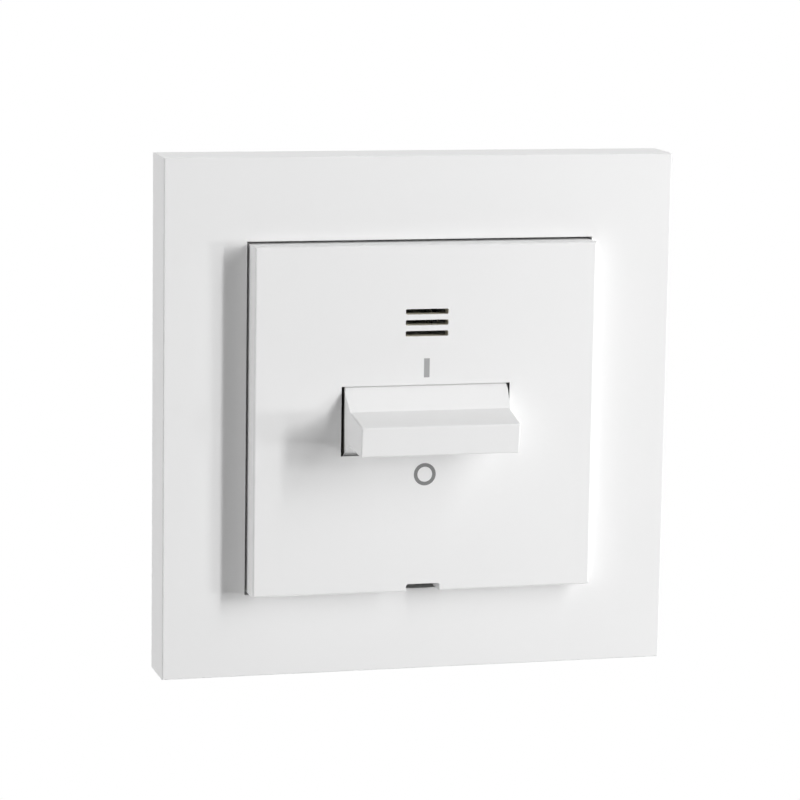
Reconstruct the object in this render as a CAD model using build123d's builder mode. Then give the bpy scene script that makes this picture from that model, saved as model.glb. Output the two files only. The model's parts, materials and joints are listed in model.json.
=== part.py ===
from build123d import *
import os
from math import acos, cos, degrees, radians, sin

# A flush-mounted lever switch with its cover frame, as an assembly of separate pieces, in millimetres.
# X runs to the right, Y into the wall and Z up. The origin is at the middle of the mounting ring's back
# face, which lies on the wall. "Height" below means the distance in front of the wall, so a height is -Y,
# and a negative height lies inside the wall box. Everything is drawn with the lever in its lower, off
# position.

os.makedirs("parts", exist_ok=True)

# Clearances
running_clearance = 0.07  # radial, round a plunger, a pivot stub or a trunnion
loose_clearance = 0.15  # each side, round what slides or drops into place
free_clearance = 0.3  # between pieces that pass each other
touch_clearance = 0.05  # between surfaces that only meet at the end of a travel

# Cover frame
frame_size = 82.0
frame_depth = 9.0
frame_front_wall = 2.0
frame_side_wall = 1.8
frame_edge_radius = 0.25
collar_wall = 1.4
ledge_height = 5.6
ledge_thickness = 1.4
ledge_width = 1.7
rib_thickness = 1.0
rib_offset = 14.0

# Centre plate
plate_size = 55.0
plate_gap = 0.4
plate_proud = 4.0
plate_wall = 2.0
skirt_wall = 1.2
plate_edge_radius = 0.35
slot_width = 6.9
slot_height = 0.85
slot_pitch = 1.72
slot_count = 3
slot_centre_z = 15.3
slot_corner = 0.15
notch_width = 5.5
notch_height = 1.2
notch_radius = 0.4
window_side_gap = 0.45  # between the window and the drum
ear_thickness = 1.8
ear_half_height = 3.0
ear_depth = 3.9
snap_mouth = 2.2
leg_outer_x = 17.4
leg_thickness = 1.5
leg_width = 4.0
leg_z = 7.5
leg_tip_length = 1.9
hook_reach = 0.8
hook_land = 0.6

# Toggle lever
lever_tilt = 8.0  # to each side of straight out
pivot_below_face = 3.3
drum_radius = 6.2
drum_wall = 1.3
drum_width = 26.3  # at the plate's face and behind it
facet_angle = 66.7
paddle_root_out = 5.87
paddle_root_thickness = 5.5
paddle_root_width = 25.8
paddle_reach = 12.8
paddle_thickness = 4.75
paddle_width = 25.35
paddle_edge_radius = 0.28
paddle_wall = 1.2
drum_back = 2.9
stub_radius = 1.3
stub_length = 2.0
pole_x = 9.0
stem_half_width = 2.2
stem_length = 11.0
stem_web = 1.2
bore_radius = 1.55
bore_floor = 1.0

# Plungers and their springs
plunger_reach = 12.5
plunger_back = 6.2
plunger_tip_radius = 0.6
plunger_travel = 0.4
spring_wire = 0.36
spring_turns = 1.5

# Contact rockers
rocker_tilt = 8.0  # to each side
rocker_gap = 0.06
rocker_thickness = 1.0
rocker_width = 6.0
rocker_up = 9.5
rocker_down = 10.0
bead_radius = 0.8
contact_arm = 8.5
contact_radius = 1.3
contact_height = 0.6

# Strips, saddles and clamps of the terminals
strip_thickness = 0.8
strip_width = 6.0
strip_set_back = 2.65
strip_back = 16.0
line_strip_tail = 2.6
load_strip_tail = 6.2
saddle_half_height = 1.9
saddle_width = 5.6
saddle_relief = 0.4
clamp_thickness = 0.4
clamp_width = 6.6
clamp_anchor_back = 14.2
clamp_loop_y = 8.0
clamp_loop_height = 1.1
clamp_tip_y = 13.6
clamp_tip_gap = 0.3
clamp_bend_radius = 0.45

# Release keys and wire entries
key_width = 5.6
key_thickness = 2.2
key_nose_y = 12.4
key_proud = 1.4
key_collar = 0.5
key_collar_length = 1.3
key_slot_width = 3.0
key_slot_depth = 0.8
wire_radius = 1.4
wire_pitch = 4.0
wire_below_strip = 1.4

# Mounting ring
ring_margin = 3.7  # from the ring's edge to the frame's outer wall
ring_thickness = 1.1
ring_corner_radius = 5.0
box_screw_spacing = 60.0
box_slot_length = 7.0
box_slot_width = 3.5
claw_ear_thickness = 1.1
claw_ear_width = 3.6
claw_ear_depth = 3.8

# Insert base and cover
base_width = 40.0
base_height = 44.0
base_depth = 20.0
base_corner = 7.0
base_rear_wall = 3.0
base_rear_edge = 1.2
spigot_width = 28.0
spigot_height = 40.0
spigot_corner = 2.0
chamber_width = 8.0
chamber_half_height = 10.6
pocket_start_z = 11.8
pocket_end_z = 19.2
middle_pocket_width = 6.8
middle_pocket_top = 9.0
middle_pocket_bottom = 17.0
middle_pocket_depth = 16.0
cover_side_step = 1.0
cover_end_step = 0.5
cover_thickness = 2.0
cover_corner = 5.5
cover_rim = 0.6
cover_rim_height = 0.8

# Screws that hold cover, ring and base together
cover_screw_inset = 3.6  # from the base's side
cover_screw_end_inset = 8.0  # from the base's top or bottom
cover_screw_radius = 1.1
cover_screw_head_radius = 1.8
cover_screw_head = 1.3
cover_screw_depth = 8.0

# Spreader claws
claw_channel_depth = 1.6
claw_channel_half_height = 5.6
claw_screw_offset = 2.8  # from the channel's floor, as are the next ones
claw_pivot_offset = 5.6
claw_knee_offset = 4.2
claw_leg_offset = 5.5
claw_toe_offset = 7.8
nut_outer_offset = 4.5
claw_screw_radius = 1.5
claw_screw_head_radius = 2.5
claw_screw_head = 1.9
claw_screw_end = 19.0
claw_pivot_y = 1.9
claw_thickness = 1.2
claw_half_width = 4.8
claw_trunnion_radius = 0.93
claw_knee_y = 6.0
claw_leg_y = 12.0
claw_heel_y = 17.5
claw_toe_y = 19.0
claw_slot_half_width = 2.1
claw_slot_start = 3.6
claw_slot_end = 15.5
nut_front_y = 13.0
nut_length = 5.0

# Pilot lamp behind the slots
lamp_radius = 1.8
lamp_length = 9.0
lamp_height = 6.3
lead_radius = 0.3
lead_x = 6.4
holder_width = 15.2
holder_height = 6.4
holder_base = 1.0
cradle_x = 3.0
cradle_thickness = 1.4
cradle_height = 5.0

# Values worked out from the ones above
plate_front = frame_depth + plate_proud
plate_back = plate_front - plate_wall
frame_opening = plate_size + 2 * plate_gap
ledge_opening = frame_opening - 2 * ledge_width
collar_outer = frame_opening + 2 * collar_wall
frame_inside = frame_size - 2 * frame_side_wall
ring_size = frame_inside - 2 * ring_margin
pivot_height = plate_front - pivot_below_face
window_radius = drum_radius + 0.7 * free_clearance
window_width = drum_width + 2 * window_side_gap
rocker_pivot_y = plunger_reach - pivot_height + rocker_gap + rocker_thickness
strip_y = rocker_pivot_y + strip_set_back
rocker_sine = sin(radians(rocker_tilt))
rocker_cosine = cos(radians(rocker_tilt))
fixed_contact_y = (
    rocker_pivot_y
    + contact_height * rocker_cosine
    + (contact_arm + contact_radius) * rocker_sine
    + touch_clearance
)
strip_outer_z = pocket_end_z - 0.2
strip_inner_z = strip_outer_z - strip_thickness
wire_z = strip_inner_z - wire_below_strip
key_z = wire_z - wire_radius - 3 * loose_clearance - key_thickness / 2 - loose_clearance
rear_wall_y = base_depth - base_rear_wall
ring_opening_width = spigot_width + 2 * loose_clearance
ring_opening_height = spigot_height + 2 * loose_clearance
cover_front = ring_thickness + cover_thickness
lead_hole = 2 * (lead_radius + loose_clearance)
head_room = 2 * (claw_screw_head_radius + 3 * loose_clearance)
trunnion_hole = 2 * (claw_trunnion_radius + running_clearance)
latch_window_inner = leg_outer_x - leg_thickness - free_clearance
latch_window_outer = leg_outer_x + free_clearance
latch_window_height = leg_width + 2 * free_clearance
cover_width = base_width - 2 * cover_side_step
cover_height = base_height - 2 * cover_end_step
cover_screw_x = base_width / 2 - cover_screw_inset
cover_screw_z = base_height / 2 - cover_screw_end_inset
claw_channel_x = base_width / 2 - claw_channel_depth
claw_screw_x = claw_channel_x + claw_screw_offset
claw_pivot_x = claw_channel_x + claw_pivot_offset
claw_knee_x = claw_channel_x + claw_knee_offset
claw_leg_x = claw_channel_x + claw_leg_offset
claw_toe_x = claw_channel_x + claw_toe_offset
nut_outer_x = claw_channel_x + nut_outer_offset
sides = {"left": -1, "right": 1}
levels = {"upper": 1, "lower": -1}


def at_height(height):
    """A plane parallel to the wall, at a distance in front of it: local x is X, local y is Z."""
    return Plane.XZ.offset(height)


def cut_corner_rectangle(width, height, corner):
    """A rectangle whose corners are cut off at 45 degrees."""
    with BuildSketch() as outline:
        Rectangle(width, height)
        chamfer(outline.vertices(), corner)
    return outline.sketch


# Directions and planes of the lever, tilted down to its off position
lever_sine = sin(radians(lever_tilt))
lever_cosine = cos(radians(lever_tilt))
lever_out = (0, -lever_cosine, -lever_sine)
lever_up = (0, -lever_sine, lever_cosine)
lever_axis = Axis((0, -pivot_height, 0), lever_out)


def lever_section(x):
    """The lever's side view at one place along its pivot: local x points out, local y up."""
    return Plane(origin=(x, -pivot_height, 0), x_dir=lever_out, z_dir=(-1, 0, 0))


def across_lever(out):
    """A plane across the lever, at a distance out from its pivot: local x is X, local y up."""
    return Plane(origin=(0, -pivot_height, 0), x_dir=(1, 0, 0), z_dir=lever_out).offset(out)


# Cover frame: a square moulding, hollow behind, with a collar round its opening. The ledge inside the
# collar is what the centre plate presses on.
with BuildPart() as cover_frame:
    with BuildSketch(at_height(0)):
        Rectangle(frame_size, frame_size)
    extrude(amount=frame_depth)
    fillet(cover_frame.faces().sort_by(Axis.Y)[0].edges(), frame_edge_radius)
    with BuildSketch(at_height(0)):
        Rectangle(frame_inside, frame_inside)
        Rectangle(collar_outer, collar_outer, mode=Mode.SUBTRACT)
    extrude(amount=frame_depth - frame_front_wall, mode=Mode.SUBTRACT)
    with BuildSketch(at_height(0)):
        Rectangle(collar_outer, collar_outer)
    extrude(amount=ledge_height - ledge_thickness, mode=Mode.SUBTRACT)
    with BuildSketch(at_height(0)):
        Rectangle(ledge_opening, ledge_opening)
    extrude(amount=frame_depth, mode=Mode.SUBTRACT)
    with BuildSketch(at_height(ledge_height)):
        Rectangle(frame_opening, frame_opening)
    extrude(amount=frame_depth - ledge_height, mode=Mode.SUBTRACT)
    # Ribs from the collar to the outer walls stand just clear of the mounting ring
    rib_length = (frame_inside - collar_outer) / 2
    rib_middle = (frame_inside + collar_outer) / 4
    with BuildSketch(at_height(ring_thickness + free_clearance)):
        with PolarLocations(0, 4):
            with Locations((-rib_offset, rib_middle), (rib_offset, rib_middle)):
                Rectangle(rib_thickness, rib_length)
    extrude(amount=frame_depth - frame_front_wall - ring_thickness - free_clearance)
cover_frame.part.label = "cover_frame"
export_step(cover_frame.part, "parts/cover_frame.step")


# Centre plate: front wall and skirt, with the lever's window, the lamp's slots and a notch to prise it off
with BuildPart() as centre_plate:
    with BuildSketch(at_height(ledge_height)):
        Rectangle(plate_size, plate_size)
    extrude(amount=plate_front - ledge_height)
    fillet(centre_plate.faces().sort_by(Axis.Y)[0].edges(), plate_edge_radius)
    with BuildSketch(at_height(ledge_height)):
        Rectangle(plate_size - 2 * skirt_wall, plate_size - 2 * skirt_wall)
    extrude(amount=plate_back - ledge_height, mode=Mode.SUBTRACT)
    # Ears behind the window carry the lever's pivot stubs
    ear_middle_x = (window_width + ear_thickness) / 2
    with BuildSketch(at_height(plate_back)):
        with Locations((-ear_middle_x, 0), (ear_middle_x, 0)):
            Rectangle(ear_thickness, 2 * ear_half_height)
    extrude(amount=-ear_depth)
    # The window's upper and lower edges are hollowed round the lever's drum
    with Locations((0, -pivot_height, 0)):
        Cylinder(window_radius, window_width, rotation=(0, 90, 0), mode=Mode.SUBTRACT)
    # Bores for the stubs, each open to the back through a narrower mouth
    with BuildSketch(Plane.YZ):
        with Locations((-pivot_height, 0)):
            Circle(stub_radius + running_clearance)
            Rectangle(ear_depth, snap_mouth, align=(Align.MIN, Align.CENTER))
    extrude(amount=window_width / 2 + ear_thickness, both=True, mode=Mode.SUBTRACT)
    with BuildSketch(at_height(plate_front)) as slots:
        with Locations((0, slot_centre_z)):
            with GridLocations(0, slot_pitch, 1, slot_count):
                Rectangle(slot_width, slot_height)
        chamfer(slots.vertices(), slot_corner)
    extrude(amount=-plate_wall, mode=Mode.SUBTRACT)
    with BuildSketch(at_height(plate_front)) as notch:
        with Locations((0, -plate_size / 2)):
            Rectangle(notch_width, notch_height, align=(Align.CENTER, Align.MIN))
        fillet(notch.vertices().group_by(Axis.Y)[-1], notch_radius)
    extrude(amount=ledge_height - plate_front, mode=Mode.SUBTRACT)
    # Four legs pass through the ring and hook behind it
    with BuildSketch(Plane.XY.offset(leg_z), Plane.XY.offset(-leg_z)):
        with BuildLine():
            Polyline(
                (leg_outer_x - leg_thickness, -plate_back),
                (leg_outer_x, -plate_back),
                (leg_outer_x, touch_clearance),
                (leg_outer_x + hook_reach, touch_clearance),
                (leg_outer_x + hook_reach, hook_land),
                (leg_outer_x - leg_thickness / 3, leg_tip_length),
                (leg_outer_x - leg_thickness, leg_tip_length),
                close=True,
            )
        make_face()
        mirror(about=Plane.YZ)
    extrude(amount=leg_width / 2, both=True)
centre_plate.part.label = "centre_plate"
export_step(centre_plate.part, "parts/centre_plate.step")


def drum_profile(radius, root_out, root_height):
    """The drum's side view: two facets, two round skirts, and a flat front and back."""
    front = radians(facet_angle)
    back_angle = degrees(acos(-drum_back / radius))
    skirt_arc = back_angle - facet_angle
    knee = (radius * cos(front), radius * sin(front))
    heel = radius * sin(radians(back_angle))
    with BuildSketch() as profile:
        with BuildLine():
            Polyline(knee, (root_out, root_height), (root_out, -root_height), (knee[0], -knee[1]))
            CenterArc((0, 0), radius, facet_angle, skirt_arc)
            CenterArc((0, 0), radius, -facet_angle, -skirt_arc)
            Line((-drum_back, heel), (-drum_back, -heel))
        make_face()
    return profile.sketch


def drum_outline():
    """The drum seen from above: its ends lean in from the plate's face to the root of the paddle."""
    with BuildSketch() as outline:
        with BuildLine():
            Polyline(
                (-drum_back, drum_width / 2),
                (pivot_below_face, drum_width / 2),
                (paddle_root_out, paddle_root_width / 2),
                (paddle_root_out, -paddle_root_width / 2),
                (pivot_below_face, -drum_width / 2),
                (-drum_back, -drum_width / 2),
                close=True,
            )
        make_face()
    return outline.sketch


def wedge(root, tip):
    """The paddle seen from its side or from above: it narrows from the drum to its front edge."""
    with BuildSketch() as outline:
        with BuildLine():
            Polyline(
                (paddle_root_out, root / 2),
                (paddle_reach, tip / 2),
                (paddle_reach, -tip / 2),
                (paddle_root_out, -root / 2),
                close=True,
            )
        make_face()
    return outline.sketch


# Toggle lever: one shell, open behind. A drum with two facets closes the window, a flat paddle stands out
# of it, and two hollow stems reach back to the contact rockers.
lever_plan = Plane(origin=(0, -pivot_height, 0), x_dir=lever_out, z_dir=lever_up)
with BuildPart() as paddle:
    with BuildSketch(lever_section(0)):
        add(wedge(paddle_root_thickness, paddle_thickness))
    extrude(amount=paddle_root_width / 2, both=True)
    with BuildSketch(lever_plan):
        add(wedge(paddle_root_width, paddle_width))
    extrude(amount=paddle_root_thickness, both=True, mode=Mode.INTERSECT)
    paddle_front = paddle.faces().sort_by(lever_axis)[-1].edges()
    paddle_middle = (paddle_root_out + paddle_reach) / 2
    paddle_sides = paddle.edges().filter_by(
        lambda edge: abs(across_lever(paddle_middle).to_local_coords(edge.center()).Z) < 0.5
    )
    fillet(paddle_front + paddle_sides, paddle_edge_radius)
with BuildPart() as toggle_lever:
    with BuildSketch(lever_section(0)):
        add(drum_profile(drum_radius, paddle_root_out, paddle_root_thickness / 2))
    extrude(amount=drum_width / 2, both=True)
    with BuildSketch(lever_plan):
        add(drum_outline())
    extrude(amount=drum_radius, both=True, mode=Mode.INTERSECT)
    add(paddle.part)
    with BuildSketch(lever_section(0)):
        core_half_height = paddle_thickness / 2 - paddle_wall
        add(drum_profile(drum_radius - drum_wall, paddle_root_out - drum_wall, core_half_height))
    extrude(amount=drum_width / 2 - drum_wall, both=True, mode=Mode.SUBTRACT)
    core_width = paddle_width - 2 * paddle_wall
    core_thickness = paddle_thickness - 2 * paddle_wall
    with BuildSketch(across_lever(0)):
        Rectangle(core_width, core_thickness)
    extrude(amount=paddle_reach - paddle_wall, mode=Mode.SUBTRACT)
    # Stems with a web between them
    with BuildSketch(across_lever(-drum_back)):
        Rectangle(2 * pole_x, stem_web)
    extrude(amount=drum_back + paddle_reach - paddle_wall)
    with BuildSketch(across_lever(-stem_length)):
        with Locations((-pole_x, 0), (pole_x, 0)):
            Rectangle(2 * stem_half_width, 2 * stem_half_width)
    extrude(amount=stem_length + paddle_root_out - drum_wall)
    with BuildSketch(across_lever(-stem_length)):
        with Locations((-pole_x, 0), (pole_x, 0)):
            Circle(bore_radius)
    extrude(amount=stem_length - bore_floor, mode=Mode.SUBTRACT)
    # Pivot stubs
    stub_middle_x = (drum_width + stub_length) / 2
    with Locations((-stub_middle_x, -pivot_height, 0), (stub_middle_x, -pivot_height, 0)):
        Cylinder(stub_radius, stub_length, rotation=(0, 90, 0))
toggle_lever.part.label = "toggle_lever"
export_step(toggle_lever.part, "parts/toggle_lever.step")


# Plungers: turned pins with a thinner tip, sliding in the stems
for side, sign in sides.items():
    section = lever_section(sign * pole_x)
    plunger_radius = bore_radius - running_clearance
    with BuildPart() as plunger:
        with BuildSketch(section):
            with BuildLine():
                Polyline(
                    (-plunger_reach, 0),
                    (-plunger_back, 0),
                    (-plunger_back, plunger_radius),
                    (-stem_length, plunger_radius),
                    (-stem_length, plunger_tip_radius),
                    (-plunger_reach, plunger_tip_radius),
                    close=True,
                )
            make_face()
        revolve(axis=Axis(section.origin, section.x_dir))
    plunger.part.label = "plunger_" + side
    export_step(plunger.part, "parts/plunger_" + side + ".step")


# Plunger springs: small coils between the bore's floor and the plunger, less the plunger's travel
spring_radius = bore_radius - loose_clearance - spring_wire / 2
spring_height = plunger_back - bore_floor - plunger_travel - 2 * touch_clearance - spring_wire
for side, sign in sides.items():
    coil_plane = across_lever(-bore_floor - touch_clearance - spring_wire / 2 - spring_height)
    coil_start = coil_plane.from_local_coords((sign * pole_x, 0, 0))
    with BuildPart() as plunger_spring:
        with BuildLine() as coil:
            pitch = spring_height / spring_turns
            Helix(pitch, spring_height, spring_radius, center=coil_start, direction=lever_out)
        wire_plane = Plane(coil.line @ 0, x_dir=(1, 0, 0), z_dir=coil.line % 0)
        with BuildSketch(wire_plane):
            Rectangle(spring_wire, spring_wire)
        sweep(is_frenet=True)
    plunger_spring.part.label = "plunger_spring_" + side
    export_step(plunger_spring.part, "parts/plunger_spring_" + side + ".step")


# Contact rockers: sheet strips that tilt on a round bead, with a contact rivet at the lower end. Off, the
# upper half leans back and the lower half stands clear of its fixed contact.
rocker_front = (0, -rocker_cosine, rocker_sine)
for side, sign in sides.items():
    rocker_origin = (sign * pole_x, rocker_pivot_y, 0)
    with BuildPart() as contact_rocker:
        with BuildSketch(Plane(rocker_origin, x_dir=rocker_front, z_dir=(-1, 0, 0))):
            with BuildLine():
                Polyline((0, bead_radius), (0, rocker_up), (rocker_thickness, rocker_up))
                Line((rocker_thickness, rocker_up), (rocker_thickness, -rocker_down))
                Polyline((rocker_thickness, -rocker_down), (0, -rocker_down), (0, -bead_radius))
                CenterArc((0, 0), bead_radius, 90, 180)
            make_face()
        extrude(amount=rocker_width / 2, both=True)
        end_edges = contact_rocker.edges().filter_by(lambda edge: abs(edge.length - rocker_thickness) < 0.01)
        chamfer(end_edges, rocker_width / 6)
        face_plane = Plane(rocker_origin, x_dir=(1, 0, 0), z_dir=rocker_front)
        with BuildSketch(face_plane.offset(-contact_height)):
            with Locations((0, -contact_arm)):
                Circle(contact_radius)
        extrude(amount=contact_height)
    contact_rocker.part.label = "contact_rocker_" + side
    export_step(contact_rocker.part, "parts/contact_rocker_" + side + ".step")


def strip_profile(level, tail):
    """Side view of a strip from near the middle to one terminal, turned back along its outer wall."""
    with BuildSketch() as profile:
        with BuildLine():
            Polyline(
                (strip_y, level * tail),
                (strip_y + strip_thickness, level * tail),
                (strip_y + strip_thickness, level * strip_inner_z),
                (strip_back, level * strip_inner_z),
                (strip_back, level * strip_outer_z),
                (strip_y, level * strip_outer_z),
                close=True,
            )
        make_face()
        bend = profile.vertices().filter_by(
            lambda corner: abs(corner.X - strip_y) < 0.01 and abs(corner.Y) > strip_inner_z
        )
        fillet(bend, strip_thickness)
    return profile.sketch


# Line contacts: each has a saddle that the rocker's bead turns in, and runs up to the upper terminal
saddle_front = rocker_pivot_y + saddle_relief
for side, sign in sides.items():
    with BuildPart() as line_contact:
        with BuildSketch(Plane.YZ.offset(sign * pole_x)):
            add(strip_profile(levels["upper"], -line_strip_tail))
        extrude(amount=strip_width / 2, both=True)
        with BuildSketch(Plane.YZ.offset(sign * pole_x)):
            with Locations((saddle_front, 0)):
                Rectangle(strip_y - saddle_front, 2 * saddle_half_height, align=(Align.MIN, Align.CENTER))
            with Locations((rocker_pivot_y, 0)):
                Circle(bead_radius + running_clearance, mode=Mode.SUBTRACT)
        extrude(amount=saddle_width / 2, both=True)
    line_contact.part.label = "line_contact_" + side
    export_step(line_contact.part, "parts/line_contact_" + side + ".step")


# Load contacts: each has the fixed contact rivet, and runs down to the lower terminal
for side, sign in sides.items():
    with BuildPart() as load_contact:
        with BuildSketch(Plane.YZ.offset(sign * pole_x)):
            add(strip_profile(levels["lower"], load_strip_tail))
        extrude(amount=strip_width / 2, both=True)
        with BuildSketch(at_height(-strip_y)):
            with Locations((sign * pole_x, -contact_arm)):
                Circle(contact_radius * 1.15)
        extrude(amount=strip_y - fixed_contact_y)
    load_contact.part.label = "load_contact_" + side
    export_step(load_contact.part, "parts/load_contact_" + side + ".step")


# Clamp springs: bent strips that press a wire against the terminal's strip
anchor_z = pocket_start_z + touch_clearance + clamp_thickness / 2
clamp_tip_z = strip_inner_z - clamp_tip_gap - clamp_thickness / 2
for level_name, level in levels.items():
    for side, sign in sides.items():
        name = "clamp_spring_" + level_name + "_" + side
        with BuildPart() as clamp_spring:
            with BuildSketch(Plane.YZ.offset(sign * pole_x)):
                with BuildLine():
                    FilletPolyline(
                        (clamp_anchor_back, level * anchor_z),
                        (clamp_loop_y, level * anchor_z),
                        (clamp_loop_y, level * (anchor_z + clamp_loop_height)),
                        (clamp_tip_y, level * clamp_tip_z),
                        radius=clamp_bend_radius,
                    )
                trace(line_width=clamp_thickness)
            extrude(amount=clamp_width / 2, both=True)
        clamp_spring.part.label = name
        export_step(clamp_spring.part, "parts/" + name + ".step")


# Release keys: each is pushed forward from behind to open its clamp. A collar keeps it in the base.
key_end_y = base_depth + key_proud
for level_name, level in levels.items():
    for side, sign in sides.items():
        name = "release_key_" + level_name + "_" + side
        with BuildPart() as release_key:
            with BuildSketch(at_height(-key_end_y)):
                with Locations((sign * pole_x, level * key_z)):
                    Rectangle(key_width, key_thickness)
            extrude(amount=key_end_y - key_nose_y)
            nose = release_key.faces().sort_by(Axis.Y)[0].edges().filter_by(Axis.X)
            outer_nose = nose.sort_by(lambda edge: abs(edge.center().Z))[-1]
            chamfer(outer_nose, key_thickness / 2)
            with BuildSketch(at_height(-rear_wall_y + touch_clearance)):
                with Locations((sign * pole_x, level * key_z)):
                    Rectangle(key_width + 2 * key_collar, key_thickness)
            extrude(amount=key_collar_length)
            with BuildSketch(at_height(-key_end_y)):
                with Locations((sign * pole_x, level * key_z)):
                    Rectangle(key_slot_width, key_thickness / 3)
            extrude(amount=key_slot_depth, mode=Mode.SUBTRACT)
        release_key.part.label = name
        export_step(release_key.part, "parts/" + name + ".step")


# Mounting ring: pressed steel. Its slots take the wall box's screws, and two pairs of ears bent back from
# it carry the claws.
ear_gap_half = claw_half_width + 3 * free_clearance
ear_middle_z = ear_gap_half + claw_ear_thickness / 2
cover_screw_places = [(-cover_screw_x, cover_screw_z), (cover_screw_x, -cover_screw_z)]
leg_places = [
    (column * (latch_window_inner + latch_window_outer) / 2, row * leg_z)
    for column in (-1, 1)
    for row in (-1, 1)
]
with BuildPart() as mounting_ring:
    with BuildSketch(at_height(0)):
        RectangleRounded(ring_size, ring_size, ring_corner_radius)
        add(cut_corner_rectangle(ring_opening_width, ring_opening_height, spigot_corner), mode=Mode.SUBTRACT)
        with PolarLocations(box_screw_spacing / 2, 4):
            SlotOverall(box_slot_length, box_slot_width, mode=Mode.SUBTRACT)
        with Locations(*cover_screw_places):
            Circle(cover_screw_radius + loose_clearance, mode=Mode.SUBTRACT)
        with Locations(*leg_places):
            Rectangle(latch_window_outer - latch_window_inner, latch_window_height, mode=Mode.SUBTRACT)
        with Locations((-claw_screw_x, 0), (claw_screw_x, 0)):
            Circle(claw_screw_radius + loose_clearance, mode=Mode.SUBTRACT)
        # The metal of each ear came out of the window beside it
        window_middle_z = ear_gap_half + claw_ear_thickness + claw_ear_depth / 2
        with GridLocations(2 * claw_pivot_x, 2 * window_middle_z, 2, 2):
            Rectangle(claw_ear_width, claw_ear_depth, mode=Mode.SUBTRACT)
    extrude(amount=ring_thickness)
    with BuildSketch(at_height(ring_thickness)):
        with GridLocations(2 * claw_pivot_x, 2 * ear_middle_z, 2, 2):
            Rectangle(claw_ear_width, claw_ear_thickness)
    extrude(amount=-ring_thickness - claw_ear_depth)
    ear_ends = mounting_ring.faces().sort_by(Axis.Y)[-4:].edges().filter_by(Axis.Z)
    chamfer(ear_ends, claw_ear_width / 4)
    with BuildSketch(Plane.XY):
        with Locations((-claw_pivot_x, claw_pivot_y), (claw_pivot_x, claw_pivot_y)):
            Rectangle(trunnion_hole, trunnion_hole)
    extrude(amount=ear_gap_half + 2 * claw_ear_thickness, both=True, mode=Mode.SUBTRACT)
mounting_ring.part.label = "mounting_ring"
export_step(mounting_ring.part, "parts/mounting_ring.step")


# Insert base: a moulding with one deep chamber for each pole, a terminal pocket at each end of it, and a
# closed back with wire entries and key slots. Its corners are cut off to fit a round wall box.
pocket_middle_z = (pocket_start_z + pocket_end_z) / 2
with BuildPart() as insert_base:
    with BuildSketch(at_height(0)):
        add(cut_corner_rectangle(base_width, base_height, base_corner))
    extrude(amount=-base_depth)
    chamfer(insert_base.faces().sort_by(Axis.Y)[-1].edges(), base_rear_edge)
    with BuildSketch(at_height(0)):
        add(cut_corner_rectangle(spigot_width, spigot_height, spigot_corner))
    extrude(amount=ring_thickness)
    # Channels down both sides for the claws, their nuts and their screws
    with BuildSketch(at_height(0)):
        with Locations((-base_width / 2, 0), (base_width / 2, 0)):
            Rectangle(base_width - 2 * claw_channel_x, 2 * claw_channel_half_height)
    extrude(amount=-base_depth, mode=Mode.SUBTRACT)
    # Chambers for the rockers
    with BuildSketch(at_height(ring_thickness)):
        with Locations((-pole_x, 0), (pole_x, 0)):
            Rectangle(chamber_width, 2 * chamber_half_height)
            # Openings that the strips drop through on their way to the terminals
            Rectangle(strip_width + 2 * loose_clearance, 2 * pocket_start_z)
    extrude(amount=-ring_thickness - strip_y - strip_thickness, mode=Mode.SUBTRACT)
    # Pockets for the terminals
    with BuildSketch(at_height(ring_thickness)):
        with GridLocations(2 * pole_x, 2 * pocket_middle_z, 2, 2):
            Rectangle(chamber_width, pocket_end_z - pocket_start_z)
    extrude(amount=-ring_thickness - rear_wall_y, mode=Mode.SUBTRACT)
    # Wire entries and key slots through the back
    with BuildSketch(at_height(-base_depth)):
        with GridLocations(2 * pole_x, 2 * wire_z, 2, 2):
            with Locations((-wire_pitch / 2, 0), (wire_pitch / 2, 0)):
                Circle(wire_radius)
        with GridLocations(2 * pole_x, 2 * key_z, 2, 2):
            Rectangle(key_width + 2 * loose_clearance, key_thickness + 2 * loose_clearance)
    extrude(amount=base_rear_wall, mode=Mode.SUBTRACT)
    # A pocket in the middle keeps the moulding's walls even
    with BuildSketch(at_height(ring_thickness)):
        with Locations((0, (middle_pocket_top - middle_pocket_bottom) / 2)):
            Rectangle(middle_pocket_width, middle_pocket_top + middle_pocket_bottom)
    extrude(amount=-ring_thickness - middle_pocket_depth, mode=Mode.SUBTRACT)
    # Room behind the ring for the hooks of the centre plate
    hook_pocket_width = leg_thickness + hook_reach + 3 * free_clearance
    hook_pocket_x = latch_window_inner + hook_pocket_width / 2
    with BuildSketch(at_height(0)):
        with GridLocations(2 * hook_pocket_x, 2 * leg_z, 2, 2):
            Rectangle(hook_pocket_width, latch_window_height)
    extrude(amount=-leg_tip_length - free_clearance, mode=Mode.SUBTRACT)
    # Blind holes for the screws
    with BuildSketch(at_height(ring_thickness)):
        with Locations(*cover_screw_places):
            Circle(cover_screw_radius)
    extrude(amount=-ring_thickness - cover_screw_depth, mode=Mode.SUBTRACT)
insert_base.part.label = "insert_base"
export_step(insert_base.part, "parts/insert_base.step")


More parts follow.
